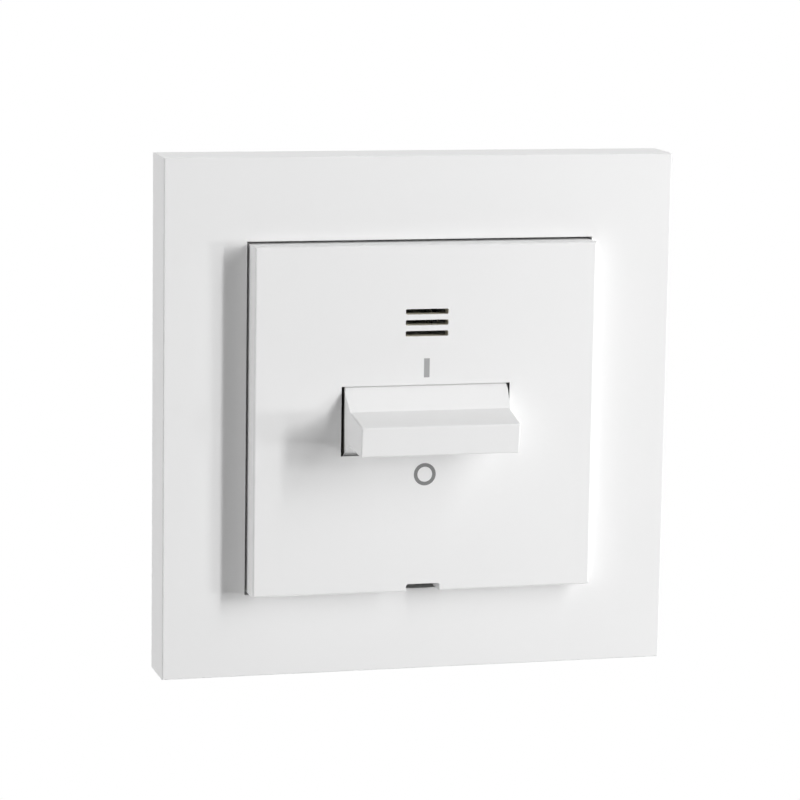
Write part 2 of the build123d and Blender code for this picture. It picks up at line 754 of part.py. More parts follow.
# Insert cover: closes the chambers from the front and leaves windows for the stems and the legs
stem_window_half_height = (
    (pivot_height - ring_thickness) * lever_sine + stem_half_width / lever_cosine + free_clearance
)
with BuildPart() as insert_cover:
    with BuildSketch(at_height(ring_thickness)):
        add(cut_corner_rectangle(cover_width, cover_height, cover_corner))
    extrude(amount=cover_thickness + cover_rim_height)
    with BuildSketch(at_height(cover_front)):
        add(cut_corner_rectangle(cover_width - 2 * cover_rim, cover_height - 2 * cover_rim, cover_corner))
    extrude(amount=cover_rim_height, mode=Mode.SUBTRACT)
    with BuildSketch(at_height(ring_thickness)):
        with Locations((-pole_x, 0), (pole_x, 0)):
            Rectangle(2 * (stem_half_width + free_clearance), 2 * stem_window_half_height)
        with Locations(*cover_screw_places):
            Circle(cover_screw_radius + loose_clearance)
        with Locations(*leg_places):
            Rectangle(latch_window_outer - latch_window_inner, latch_window_height)
        with Locations((-lead_x, slot_centre_z), (lead_x, slot_centre_z)):
            Rectangle(lead_hole, lead_hole)
        # Room for the heads of the claw screws
        with Locations((-claw_screw_x, 0), (claw_screw_x, 0)):
            Rectangle(head_room, head_room)
    extrude(amount=cover_thickness + cover_rim_height, mode=Mode.SUBTRACT)
insert_cover.part.label = "insert_cover"
export_step(insert_cover.part, "parts/insert_cover.step")


# Cover screws: two alike, on a diagonal, through cover and ring into the base
with BuildPart() as cover_screws:
    with BuildSketch(at_height(cover_front)):
        with Locations(*cover_screw_places):
            Circle(cover_screw_head_radius)
    extrude(amount=cover_screw_head)
    with BuildSketch(at_height(cover_front)):
        with Locations(*cover_screw_places):
            Circle(cover_screw_radius)
    extrude(amount=-cover_front - cover_screw_depth)
cover_screws.part.label = "cover_screws"
export_step(cover_screws.part, "parts/cover_screws.step")


# Claws: sheet steel fingers hung in the ring's ears. Each is cranked inwards at the knee, where the nut
# pushes it out, and slotted for the screw.
for side, sign in sides.items():
    with BuildPart() as claw:
        with BuildSketch(Plane.XY):
            with BuildLine():
                FilletPolyline(
                    (sign * claw_pivot_x, claw_pivot_y),
                    (sign * claw_knee_x, claw_knee_y),
                    (sign * claw_leg_x, claw_leg_y),
                    (sign * claw_leg_x, claw_heel_y),
                    (sign * claw_toe_x, claw_toe_y),
                    radius=claw_thickness,
                )
            trace(line_width=claw_thickness)
        extrude(amount=claw_half_width, both=True)
        with BuildSketch(Plane.XY):
            with Locations((sign * claw_pivot_x, claw_pivot_y)):
                Circle(claw_trunnion_radius)
        extrude(amount=ear_gap_half + claw_ear_thickness, both=True)
        with BuildSketch(Plane.YZ.offset(sign * claw_knee_x)):
            with Locations(((claw_slot_start + claw_slot_end) / 2, 0)):
                Rectangle(claw_slot_end - claw_slot_start, 2 * claw_slot_half_width)
        extrude(amount=claw_toe_x - claw_knee_x, both=True, mode=Mode.SUBTRACT)
    claw.part.label = "claw_" + side
    export_step(claw.part, "parts/claw_" + side + ".step")


# Wedge nuts: blocks on the claw screws, kept from turning by the channel
nut_inner_x = claw_channel_x + 2 * loose_clearance
nut_height = 2 * (claw_channel_half_height - 2 * loose_clearance)
for side, sign in sides.items():
    with BuildPart() as wedge_nut:
        with BuildSketch(at_height(-nut_front_y - nut_length)):
            with Locations((sign * (nut_inner_x + nut_outer_x) / 2, 0)):
                Rectangle(nut_outer_x - nut_inner_x, nut_height)
        extrude(amount=nut_length)
        nut_edges = wedge_nut.edges().filter_by(Axis.Z)
        outer_front = nut_edges.sort_by(lambda edge: sign * edge.center().X - edge.center().Y)[-1]
        chamfer(outer_front, claw_thickness / 2)
        with BuildSketch(at_height(-nut_front_y)):
            with Locations((sign * claw_screw_x, 0)):
                Circle(claw_screw_radius + running_clearance)
        extrude(amount=-nut_length, mode=Mode.SUBTRACT)
    wedge_nut.part.label = "wedge_nut_" + side
    export_step(wedge_nut.part, "parts/wedge_nut_" + side + ".step")


# Claw screws: cheese heads on the ring, shanks down the channels
for side, sign in sides.items():
    with BuildPart() as claw_screw:
        with BuildSketch(at_height(ring_thickness)):
            with Locations((sign * claw_screw_x, 0)):
                Circle(claw_screw_head_radius)
        extrude(amount=claw_screw_head)
        with BuildSketch(at_height(ring_thickness)):
            with Locations((sign * claw_screw_x, 0)):
                Circle(claw_screw_radius)
        extrude(amount=-ring_thickness - claw_screw_end)
    claw_screw.part.label = "claw_screw_" + side
    export_step(claw_screw.part, "parts/claw_screw_" + side + ".step")


# Lamp holder: a small block on the cover with two cradles for the lamp
with BuildPart() as lamp_holder:
    with BuildSketch(at_height(cover_front)):
        with Locations((0, slot_centre_z)):
            Rectangle(holder_width, holder_height)
    extrude(amount=holder_base)
    with BuildSketch(at_height(cover_front + holder_base)):
        with Locations((-cradle_x, slot_centre_z), (cradle_x, slot_centre_z)):
            Rectangle(cradle_thickness, cradle_height)
    extrude(amount=lamp_height - cover_front - holder_base)
    with Locations((0, -lamp_height, slot_centre_z)):
        Cylinder(lamp_radius, holder_width, rotation=(0, 90, 0), mode=Mode.SUBTRACT)
    with BuildSketch(at_height(cover_front)):
        with Locations((-lead_x, slot_centre_z), (lead_x, slot_centre_z)):
            Rectangle(lead_hole, lead_hole)
    extrude(amount=holder_base, mode=Mode.SUBTRACT)
lamp_holder.part.label = "lamp_holder"
export_step(lamp_holder.part, "parts/lamp_holder.step")


# Pilot lamp: a glass tube sealed at both ends, lying across the cradles
with BuildPart() as pilot_lamp:
    with BuildSketch(Plane.YZ.offset(-lamp_length / 2)):
        with Locations((-lamp_height, slot_centre_z)):
            Circle(lamp_radius)
    extrude(amount=lamp_length)
pilot_lamp.part.label = "pilot_lamp"
export_step(pilot_lamp.part, "parts/pilot_lamp.step")


# Lamp leads: two wires from the lamp's ends back to the line strips
with BuildPart() as lamp_leads:
    for sign in sides.values():
        with BuildLine():
            lead_path = FilletPolyline(
                (sign * lamp_length / 2, -lamp_height, slot_centre_z),
                (sign * lead_x, -lamp_height, slot_centre_z),
                (sign * lead_x, strip_y, slot_centre_z),
                radius=2 * lead_radius,
            )
        with BuildSketch(Plane(lead_path @ 0, z_dir=lead_path % 0)):
            RegularPolygon(lead_radius, 6)
        sweep(path=lead_path)
lamp_leads.part.label = "lamp_leads"
export_step(lamp_leads.part, "parts/lamp_leads.step")
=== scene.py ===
# %% [markdown]
# # A flush-mounted lever switch
#
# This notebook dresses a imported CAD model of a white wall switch: a square frame, a raised centre plate with
# three lamp slots, and a wide flat lever, with the insert that goes into the wall behind them. The solids
# come from the CAD model and stay as they are. What is made here is the camera, the light, the finish of
# every surface, the two printed marks and the fine parts of the metalwork.

import json
import math

import bmesh
import bpy
from mathutils import Matrix, Vector


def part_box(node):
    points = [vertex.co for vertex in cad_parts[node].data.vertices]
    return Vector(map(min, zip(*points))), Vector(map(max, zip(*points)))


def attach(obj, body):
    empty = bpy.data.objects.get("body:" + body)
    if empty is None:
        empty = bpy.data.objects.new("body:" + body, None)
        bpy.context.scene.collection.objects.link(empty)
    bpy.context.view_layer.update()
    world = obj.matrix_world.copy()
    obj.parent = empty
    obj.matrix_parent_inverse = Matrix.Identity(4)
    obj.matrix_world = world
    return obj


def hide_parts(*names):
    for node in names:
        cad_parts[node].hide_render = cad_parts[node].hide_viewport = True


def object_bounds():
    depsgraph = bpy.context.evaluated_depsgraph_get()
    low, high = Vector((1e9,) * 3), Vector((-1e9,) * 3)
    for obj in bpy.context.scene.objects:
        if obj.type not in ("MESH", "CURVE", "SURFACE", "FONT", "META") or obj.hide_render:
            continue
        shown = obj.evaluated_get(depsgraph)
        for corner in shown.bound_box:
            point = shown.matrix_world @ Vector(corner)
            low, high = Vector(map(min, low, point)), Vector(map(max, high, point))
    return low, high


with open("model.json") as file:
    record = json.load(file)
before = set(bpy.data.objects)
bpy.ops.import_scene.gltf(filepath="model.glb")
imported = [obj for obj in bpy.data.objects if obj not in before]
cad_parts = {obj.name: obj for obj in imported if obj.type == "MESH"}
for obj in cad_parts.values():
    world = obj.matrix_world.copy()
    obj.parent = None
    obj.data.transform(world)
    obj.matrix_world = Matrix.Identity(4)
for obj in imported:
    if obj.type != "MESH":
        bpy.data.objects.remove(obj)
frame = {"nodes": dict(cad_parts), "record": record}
cad_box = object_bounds()
scene = bpy.context.scene
MM = 0.001


def add_object(name, data):
    """Puts a new object into the scene."""
    piece = bpy.data.objects.new(name, data)
    scene.collection.objects.link(piece)
    return piece


# %% [markdown]
# ## Camera
#
# The photograph looks at the switch from the left and a little above, from about half a metre, with a long
# lens. The angles below were found by lining up the corners of the frame and of the centre plate, whose real
# sizes are known. The picture is taken to be 800 pixels square.

# %% Camera
AZIMUTH = math.radians(-14.79)
ELEVATION = math.radians(9.38)
ROLL = math.radians(0.88)
DISTANCE = 537.32 * MM
TARGET = Vector((-0.77, 0.0, 0.95)) * MM
FOCAL_PIXELS = 3355.3
PICTURE_WIDTH = 800
SENSOR_WIDTH = 36.0


def add_camera():
    """Places the camera on a sphere round the target, turned by a small roll."""
    backward = Vector(
        (
            math.sin(AZIMUTH) * math.cos(ELEVATION),
            -math.cos(AZIMUTH) * math.cos(ELEVATION),
            math.sin(ELEVATION),
        )
    )
    right = (-backward).cross(Vector((0, 0, 1))).normalized()
    up = right.cross(-backward)
    turned_right = math.cos(ROLL) * right + math.sin(ROLL) * up
    turned_up = math.cos(ROLL) * up - math.sin(ROLL) * right
    data = bpy.data.cameras.new("camera")
    data.sensor_fit = "HORIZONTAL"
    data.sensor_width = SENSOR_WIDTH
    data.lens = FOCAL_PIXELS / PICTURE_WIDTH * SENSOR_WIDTH
    data.clip_start = 0.01
    camera = add_object("camera", data)
    camera.matrix_world = Matrix.Translation(TARGET + backward * DISTANCE) @ Matrix(
        (turned_right, turned_up, backward)
    ).transposed().to_4x4()
    scene.camera = camera
    return camera


camera = add_camera()
print("lens mm", round(camera.data.lens, 1), "camera at", tuple(round(c, 3) for c in camera.location))


# %% [markdown]
# ## Light
#
# In the photograph a narrow lamp on the right gives plate and lever a hard shadow on their left, and soft
# light comes from above, from the left and from the white ground. Each lamp here is an area light aimed at
# the middle of the switch. Those on the right are narrow, because a narrow lamp gives a hard shadow edge and
# a large one a soft edge. They stand at several heights, which draws the shadow out downwards.

# %% Lamps
LAMPS = {
    # name: (degrees right of straight in front, degrees up, distance, width, height, watts), in metres
    "key_top": (46.6, 38.0, 0.9, 0.05, 0.12, 0.41),
    "key_high": (46.6, 31.0, 0.9, 0.04, 0.12, 0.61),
    "key_middle": (46.9, 21.5, 0.9, 0.05, 0.18, 1.09),
    "key_low": (46.0, 10.0, 0.9, 0.07, 0.18, 2.29),
    "key_level": (44.5, -1.0, 0.9, 0.07, 0.16, 0.80),
    "side_high": (52.0, 41.0, 0.9, 0.10, 0.22, 0.49),
    "side_middle": (53.6, 18.0, 0.9, 0.09, 0.30, 0.80),
    "side_level": (57.0, -3.0, 0.9, 0.10, 0.10, 1.46),
    "top": (0.0, 85.0, 1.0, 0.50, 0.20, 0.85),
    "left_soft": (-85.0, 5.0, 1.1, 0.30, 0.80, 4.15),
    "rear_top": (180.0, 62.0, 1.1, 1.00, 0.50, 2.99),
    "rear": (180.0, 5.0, 1.4, 1.20, 1.20, 6.00),
}


def add_lamp(name, right, up, distance, width, height, watts):
    """Adds an area light at an angle round the switch, aimed at its middle."""
    data = bpy.data.lights.new(name, "AREA")
    data.shape = "RECTANGLE"
    data.size = width
    data.size_y = height
    data.energy = watts
    lamp = add_object(name, data)
    right, up = math.radians(right), math.radians(up)
    direction = Vector((math.sin(right) * math.cos(up), -math.cos(right) * math.cos(up), math.sin(up)))
    lamp.location = direction * distance
    lamp.rotation_euler = (-direction).to_track_quat("-Z", "Y").to_euler()


for name, settings in LAMPS.items():
    add_lamp(name, *settings)
# Seen in the flat steel of the ring, the lamp behind the switch would be a white glare.
bpy.data.objects["rear"].visible_glossy = False
print("lamps", ", ".join(LAMPS))

# %% [markdown]
# ## Nodes and colours
#
# Three small helpers serve every material: one turns a written colour into the linear numbers that Blender
# works with, one adds a node with its settings and its links, and one starts a material with no nodes.

# %% Helpers for materials


def linear(hex_colour):
    """Turns an sRGB hex colour into linear numbers, with an alpha of 1."""
    values = [int(hex_colour[i : i + 2], 16) / 255 for i in (1, 3, 5)]
    return tuple(v / 12.92 if v <= 0.04045 else ((v + 0.055) / 1.055) ** 2.4 for v in values) + (1.0,)


def add_node(tree, kind, settings=None, links=None):
    """Adds a node. settings names attributes or sockets, links names sockets and what feeds them."""
    node = tree.nodes.new(kind)
    for key, value in (settings or {}).items():
        if isinstance(key, str) and hasattr(node, key) and key not in node.inputs:
            setattr(node, key, value)
        else:
            node.inputs[key].default_value = value
    for key, source in (links or {}).items():
        tree.links.new(source, node.inputs[key])
    return node


def empty_material(name):
    """A new material, and its node tree with nothing in it."""
    material = bpy.data.materials.new(name)
    material.use_nodes = True
    material.node_tree.nodes.clear()
    return material, material.node_tree


# %% [markdown]
# ## World and floor
#
# The picture's ground is pure white. Rays that go straight from the camera, or by way of a mirror or glass,
# see a white world, while the rays that light the switch see a grey one, so the white adds no light.

# %% World
WORLD_LIGHT = 0.136


def seen_directly(tree):
    """1 for a ray from the camera, by way of a mirror or glass too, and 0 for a ray that carries light."""
    path = add_node(tree, "ShaderNodeLightPath")
    camera_or_mirror = add_node(
        tree,
        "ShaderNodeMath",
        {"operation": "MAXIMUM"},
        {0: path.outputs["Is Camera Ray"], 1: path.outputs["Is Glossy Ray"]},
    )
    return add_node(
        tree,
        "ShaderNodeMath",
        {"operation": "MAXIMUM"},
        {0: camera_or_mirror.outputs[0], 1: path.outputs["Is Transmission Ray"]},
    ).outputs[0]


def make_world():
    """White to the eye, a soft grey to the light."""
    world = bpy.data.worlds.new("studio")
    scene.world = world
    world.use_nodes = True
    tree = world.node_tree
    tree.nodes.clear()
    seen = seen_directly(tree)
    light = add_node(tree, "ShaderNodeBackground", {"Color": (1, 1, 1, 1), "Strength": WORLD_LIGHT})
    white = add_node(tree, "ShaderNodeBackground", {"Color": (1, 1, 1, 1), "Strength": 1.0})
    mixed = add_node(
        tree, "ShaderNodeMixShader", {}, {0: seen, 1: light.outputs[0], 2: white.outputs[0]}
    )
    add_node(tree, "ShaderNodeOutputWorld", {}, {"Surface": mixed.outputs[0]})


make_world()
scene.view_settings.view_transform = "Standard"

# %% [markdown]
# The floor is a wide sheet of pale paper well below the switch, which hangs on a wall in use. It throws a
# little light up at the switch from below, and to the camera it is the same white as the rest of the ground.

# %% Floor
FLOOR_DROP = 0.45
FLOOR_SIZE = 6.0


def make_floor():
    """A pale floor that shows as white."""
    lowest = cad_box[0][2]
    bpy.ops.mesh.primitive_plane_add(size=FLOOR_SIZE, location=(0, 0, lowest - FLOOR_DROP))
    floor = bpy.context.object
    floor.name = "floor"
    material, tree = empty_material("floor_paper")
    seen = seen_directly(tree)
    paper = add_node(tree, "ShaderNodeBsdfDiffuse", {"Color": linear("#f4f4f4")})
    glow = add_node(tree, "ShaderNodeEmission", {"Color": (1, 1, 1, 1), "Strength": 1.0})
    shown = add_node(
        tree, "ShaderNodeMixShader", {}, {0: seen, 1: paper.outputs[0], 2: glow.outputs[0]}
    )
    add_node(tree, "ShaderNodeOutputMaterial", {}, {"Surface": shown.outputs[0]})
    floor.data.materials.append(material)
    return floor


floor = make_floor()
print("floor at", round(floor.location.z, 3))

# %% [markdown]
# ## Materials
#
# ### White moulded plastic
#
# Frame, plate and lever are injection moulded in a scratch-resistant white thermoplastic such as ASA or
# polycarbonate. The mould was polished and then lightly blasted, so the surface has a soft satin gloss and a
# very fine grain that only shows where a lamp grazes it. The real grain is about a tenth of a millimetre
# across; it is drawn a little coarser so that it still shows.
#
# A narrow place shows darker or yellower than an open face, because the light in it has met its walls many
# times. That shade is painted into the colour: such a place is given as a box, and the painted shade colour
# fades in with the depth inside the box.

# %% White moulding
GRAIN_MM = 0.35
GRAIN_HEIGHT_MM = 0.1
CLOUD_MM = 100 / 3


def depth_in_box(tree, position, centre, half, fade):
    """0 outside a box given in mm, rising to 1 at a depth of fade inside each pair of faces."""
    offset = add_node(
        tree,
        "ShaderNodeVectorMath",
        {"operation": "SUBTRACT", 1: tuple(c * MM for c in centre)},
        {0: position},
    )
    size = add_node(tree, "ShaderNodeVectorMath", {"operation": "ABSOLUTE"}, {0: offset.outputs[0]})
    depth = add_node(
        tree,
        "ShaderNodeVectorMath",
        {"operation": "SUBTRACT", 0: tuple(h * MM for h in half)},
        {1: size.outputs[0]},
    )
    share = add_node(
        tree,
        "ShaderNodeVectorMath",
        {"operation": "DIVIDE", 1: tuple(f * MM for f in fade)},
        {0: depth.outputs[0]},
    )
    axes = add_node(tree, "ShaderNodeSeparateXYZ", {}, {0: share.outputs[0]})
    least = add_node(
        tree, "ShaderNodeMath", {"operation": "MINIMUM"}, {0: axes.outputs[0], 1: axes.outputs[1]}
    )
    return add_node(
        tree,
        "ShaderNodeMath",
        {"operation": "MINIMUM", "use_clamp": True},
        {0: least.outputs[0], 1: axes.outputs[2]},
    ).outputs[0]


def moulded_plastic(name, colour, roughness, grain_strength=0.02, tone=0.015, painted_shade_boxes=()):
    """A moulded plastic: even colour, satin gloss, a fine grain and a faint unevenness of tone.

    The last argument lists narrow places given painted shade: centre, half size and fade in mm, and colour.
    """
    material, tree = empty_material(name)
    place = add_node(tree, "ShaderNodeTexCoord")
    grain = add_node(
        tree,
        "ShaderNodeTexNoise",
        {"Scale": 1 / (GRAIN_MM * MM), "Detail": 2.0, "Roughness": 0.5},
        {"Vector": place.outputs["Object"]},
    )
    cloud = add_node(
        tree,
        "ShaderNodeTexNoise",
        {"Scale": 1 / (CLOUD_MM * MM), "Detail": 1.0},
        {"Vector": place.outputs["Object"]},
    )
    base = linear(colour)
    darker = tuple(c * (1 - tone) for c in base[:3]) + (1,)
    shade = add_node(
        tree,
        "ShaderNodeMix",
        {"data_type": "RGBA", 6: darker, 7: base},
        {0: cloud.outputs["Fac"]},
    )
    # Painted shade: inside each box the colour fades to that box's painted shade colour.
    for centre, half, fade, painted_shade_colour in painted_shade_boxes:
        inside = depth_in_box(tree, place.outputs["Object"], centre, half, fade)
        shade = add_node(
            tree,
            "ShaderNodeMix",
            {"data_type": "RGBA", 7: linear(painted_shade_colour)},
            {0: inside, 6: shade.outputs[2]},
        )
    bump = add_node(
        tree,
        "ShaderNodeBump",
        {"Strength": grain_strength, "Distance": GRAIN_HEIGHT_MM * MM},
        {"Height": grain.outputs["Fac"]},
    )
    shader = add_node(
        tree,
        "ShaderNodeBsdfPrincipled",
        {"Roughness": roughness, "IOR": 1.5},
        {"Base Color": shade.outputs[2], "Normal": bump.outputs[0]},
    )
    add_node(tree, "ShaderNodeOutputMaterial", {}, {"Surface": shader.outputs[0]})
    return material


WHITE = "#f0f0f0"
SATIN = 0.45
# Painted shade: the slots' walls are drawn darker and yellower than the open white face.
SLOT_PAINTED_SHADE_COLOUR = "#e0dccf"
# Painted shade: the narrow gaps beside the lever, on the window's walls and the lever's ends, are drawn dark
# grey.
GAP_PAINTED_SHADE_COLOUR = "#6e6d69"
SIDES = (-1, 1)

# painted shade, as centre, half size and fade in mm, and colour: on the slots' walls, the window's walls and
# the lever's ends
slot_painted_shade = ((0.0, -11.0, 15.3), (3.7, 1.95, 2.5), (0.05, 0.05, 0.05), SLOT_PAINTED_SHADE_COLOUR)
window_wall_painted_shade = [((side * 13.6, -12.0, 0.0), (0.3, 0.95, 5.9), (0.05, 0.1, 0.1), GAP_PAINTED_SHADE_COLOUR) for side in SIDES]
lever_end_painted_shade = [((side * 13.2, -12.2, 0.0), (0.2, 1.25, 7.5), (0.05, 0.6, 1.5), GAP_PAINTED_SHADE_COLOUR) for side in SIDES]
white_plastic = moulded_plastic("white_moulding", WHITE, SATIN)
plate_plastic_painted_shade = moulded_plastic("white_moulding_plate_painted_shade", WHITE, SATIN, painted_shade_boxes=[slot_painted_shade] + window_wall_painted_shade)
lever_plastic_painted_shade = moulded_plastic("white_moulding_lever_painted_shade", WHITE, SATIN, painted_shade_boxes=lever_end_painted_shade)
print("white mouldings", white_plastic.name, plate_plastic_painted_shade.name, lever_plastic_painted_shade.name)

# %% [markdown]
# ### Plastics, metals and glass of the insert
#
# The insert's mouldings are a glass-filled polyamide, duller and darker than the cover. The ring, the claws
# and the screws are zinc plated steel, and the current runs through brass. Their finishes differ mostly in
# roughness and in a slight mottling of the plating.

# %% Materials of the insert
PLATING_SPREAD = 0.08


def plated_metal(name, colour, roughness, mottling_mm=1.2):
    """A metal whose plating varies a little in roughness from place to place."""
    material, tree = empty_material(name)
    place = add_node(tree, "ShaderNodeTexCoord")
    mottle = add_node(
        tree,
        "ShaderNodeTexNoise",
        {"Scale": 1 / (mottling_mm * MM), "Detail": 3.0},
        {"Vector": place.outputs["Object"]},
    )
    spread = add_node(
        tree,
        "ShaderNodeMapRange",
        {"To Min": roughness - PLATING_SPREAD, "To Max": roughness + PLATING_SPREAD},
        {"Value": mottle.outputs["Fac"]},
    )
    shader = add_node(
        tree,
        "ShaderNodeBsdfPrincipled",
        {"Base Color": linear(colour), "Metallic": 1.0},
        {"Roughness": spread.outputs["Result"]},
    )
    add_node(tree, "ShaderNodeOutputMaterial", {}, {"Surface": shader.outputs[0]})
    return material


grey_plastic = moulded_plastic("polyamide_grey", "#7d8184", 0.55, 0.05, 0.05)
pale_plastic = moulded_plastic("polyamide_pale", "#d9d8d2", 0.5, 0.04, 0.03)
key_plastic = moulded_plastic("polyamide_orange", "#d9772b", 0.45, 0.03, 0.03)
zinc_steel = plated_metal("zinc_plated_steel", "#b9bcc0", 0.32)
spring_steel = plated_metal("spring_steel", "#8f9296", 0.28)
brass = plated_metal("contact_brass", "#c9a25a", 0.3)


def clear_glass(name):
    """The lamp's clear soda glass."""
    material, tree = empty_material(name)
    shader = add_node(
        tree,
        "ShaderNodeBsdfPrincipled",
        {"Base Color": linear("#f2f0ea"), "Roughness": 0.05, "IOR": 1.52, "Transmission Weight": 1.0},
    )
    add_node(tree, "ShaderNodeOutputMaterial", {}, {"Surface": shader.outputs[0]})
    return material


glass = clear_glass("lamp_glass")

MATERIAL_OF_SLOT = {
    "white_moulding": white_plastic,
    "grey_moulding": grey_plastic,
    "pale_moulding": pale_plastic,
    "key_moulding": key_plastic,
    "zinc_steel": zinc_steel,
    "spring_steel": spring_steel,
    "contact_brass": brass,
    "lamp_glass": glass,
}
# The plate and the lever take the white plastic with its painted shade in the slots and gaps.
MATERIAL_OF_NODE = {"centre_plate": plate_plastic_painted_shade, "toggle_lever": lever_plastic_painted_shade}
slot_of_node = {part["node"]: part["material_slot"] for part in frame["record"]["subparts"]}
for node_name, node in frame["nodes"].items():
    node.data.materials.clear()
    node.data.materials.append(
        MATERIAL_OF_NODE.get(node_name, MATERIAL_OF_SLOT[slot_of_node[node_name]])
    )
print("dressed", len(slot_of_node), "nodes in", len(MATERIAL_OF_SLOT), "finishes")

# %% [markdown]
# ## Turned and coiled metalwork
#
# Screws and springs are too fine for the solids, so they are made here at their real size and take the place
# of the plain ones. One Geometry Nodes tree sweeps a small profile along a helix. With a round profile it is
# a coil spring, and with a four-cornered one it is the thread of a screw.

# %% Helix by Geometry Nodes
STEPS_PER_TURN = 28


def helix_tree():
    """A node tree that sweeps a profile along a helix, with its end turns drawn closer if asked."""
    tree = bpy.data.node_groups.new("helix_sweep", "GeometryNodeTree")
    wanted = (
        ("Turns", "NodeSocketFloat"),
        ("Radius", "NodeSocketFloat"),
        ("Height", "NodeSocketFloat"),
        ("Closing", "NodeSocketFloat"),
        ("Profile Radius", "NodeSocketFloat"),
        ("Profile Corners", "NodeSocketInt"),
        ("Material", "NodeSocketMaterial"),
    )
    for name, kind in wanted:
        tree.interface.new_socket(name, in_out="INPUT", socket_type=kind)
    tree.interface.new_socket("Geometry", in_out="OUTPUT", socket_type="NodeSocketGeometry")
    given = add_node(tree, "NodeGroupInput").outputs
    spiral = add_node(
        tree,
        "GeometryNodeCurveSpiral",
        {"Resolution": STEPS_PER_TURN, "Height": 0.0},
        {"Rotations": given["Turns"], "Start Radius": given["Radius"], "End Radius": given["Radius"]},
    )
    along = add_node(tree, "GeometryNodeSplineParameter").outputs["Factor"]
    eased = add_node(
        tree, "ShaderNodeMapRange", {"interpolation_type": "SMOOTHSTEP"}, {"Value": along}
    )
    share = add_node(
        tree, "ShaderNodeMix", {"data_type": "FLOAT"}, {0: given["Closing"], 2: along, 3: eased.outputs[0]}
    )
    rise = add_node(
        tree, "ShaderNodeMath", {"operation": "MULTIPLY"}, {0: share.outputs[0], 1: given["Height"]}
    )
    lift = add_node(tree, "ShaderNodeCombineXYZ", {}, {"Z": rise.outputs[0]})
    raised = add_node(
        tree, "GeometryNodeSetPosition", {}, {"Geometry": spiral.outputs[0], "Offset": lift.outputs[0]}
    )
    upright = add_node(
        tree, "GeometryNodeSetCurveNormal", {"mode": "Z_UP"}, {"Curve": raised.outputs[0]}
    )
    profile = add_node(
        tree,
        "GeometryNodeCurvePrimitiveCircle",
        {},
        {"Resolution": given["Profile Corners"], "Radius": given["Profile Radius"]},
    )
    swept = add_node(
        tree,
        "GeometryNodeCurveToMesh",
        {"Fill Caps": True},
        {"Curve": upright.outputs[0], "Profile Curve": profile.outputs[0]},
    )
    real = add_node(tree, "GeometryNodeRealizeInstances", {}, {"Geometry": swept.outputs[0]})
    dressed = add_node(
        tree,
        "GeometryNodeSetMaterial",
        {},
        {"Geometry": real.outputs[0], "Material": given["Material"]},
    )
    add_node(tree, "NodeGroupOutput", {}, {"Geometry": dressed.outputs[0]})
    return tree


HELIX = helix_tree()


def helix(name, turns, radius, height, closing, profile_radius, corners, material):
    """Runs the helix tree once and keeps its result as a plain mesh, in millimetres along +Z."""
    carrier = add_object(name + "_carrier", bpy.data.meshes.new(name))
    modifier = carrier.modifiers.new("helix", "NODES")
    modifier.node_group = HELIX
    values = {
        "Turns": turns,
        "Radius": radius,
        "Height": height,
        "Closing": closing,
        "Profile Radius": profile_radius,
        "Profile Corners": corners,
        "Material": material,
    }
    for item in HELIX.interface.items_tree:
        if item.in_out == "INPUT":
            modifier[item.identifier] = values[item.name]
    evaluated = carrier.evaluated_get(bpy.context.evaluated_depsgraph_get())
    mesh = bpy.data.meshes.new_from_object(evaluated)
    bpy.data.objects.remove(carrier)
    return mesh


def moved(mesh, origin, direction, turn=0.0):
    """Puts a mesh that is drawn in millimetres along +Z where it belongs."""
    aim = Vector(direction).normalized().to_track_quat("Z", "Y").to_matrix().to_4x4()
    place = Matrix.Translation(Vector(origin) * MM) @ aim @ Matrix.Rotation(turn, 4, "Z")
    mesh.transform(place @ Matrix.Scale(MM, 4))
    mesh.update()
    return mesh


BODY_OF_NODE = {
    node: body for body, nodes in frame["record"]["behaviour"]["bodies"].items() for node in nodes
}


def stands_for(piece, node):
    """The piece takes the place of a plain CAD node, on the same body."""
    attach(piece, BODY_OF_NODE[node])
    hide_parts(node)


# %% Plunger springs

# in mm; each coil lies behind the lever's pivot and starts at COIL_START from it
PIVOT = Vector((0.0, -9.7, 0.0))
LEVER_TILT = math.radians(8.0)
LEVER_OUT = Vector((0.0, -math.cos(LEVER_TILT), -math.sin(LEVER_TILT)))
POLE_X = 9.0
WIRE_RADIUS = 0.18
WIRE_CORNERS = 10
COIL_RADIUS = 1.22
COIL_TURNS = 7.0
COIL_CLOSING = 0.6
COIL_START = 1.23
COIL_HEIGHT = 4.34

for side, sign in (("left", -1), ("right", 1)):
    mesh = helix(
        "coil_" + side,
        COIL_TURNS,
        COIL_RADIUS,
        COIL_HEIGHT,
        COIL_CLOSING,
        WIRE_RADIUS,
        WIRE_CORNERS,
        spring_steel,
    )
    mesh.shade_smooth()
    far_end = PIVOT - LEVER_OUT * (COIL_START + COIL_HEIGHT) + Vector((sign * POLE_X, 0, 0))
    coil = add_object("coil_spring_" + side, moved(mesh, far_end, LEVER_OUT))
    stands_for(coil, "plunger_spring_" + side)
    print(coil.name, "faces", len(mesh.polygons))

# %% [markdown]
# ### Screws
#
# Each screw is turned from a profile: a cheese head with a rounded rim, a shank and a point. The head has
# the slot with a cross that such terminal screws usually have, and the thread is the same helix as above.
# Its pitch is half a millimetre on the claw screws and coarser on the two that cut into the moulding.

# %% Turned shapes


def circle(centre, radius, steps):
    """Points round a circle in a plane."""
    turns = [2 * math.pi * i / steps for i in range(steps)]
    return [(centre[0] + radius * math.cos(t), centre[1] + radius * math.sin(t)) for t in turns]


def kept(work, name):
    """Keeps a bmesh as a mesh."""
    data = bpy.data.meshes.new(name)
    work.to_mesh(data)
    work.free()
    return data


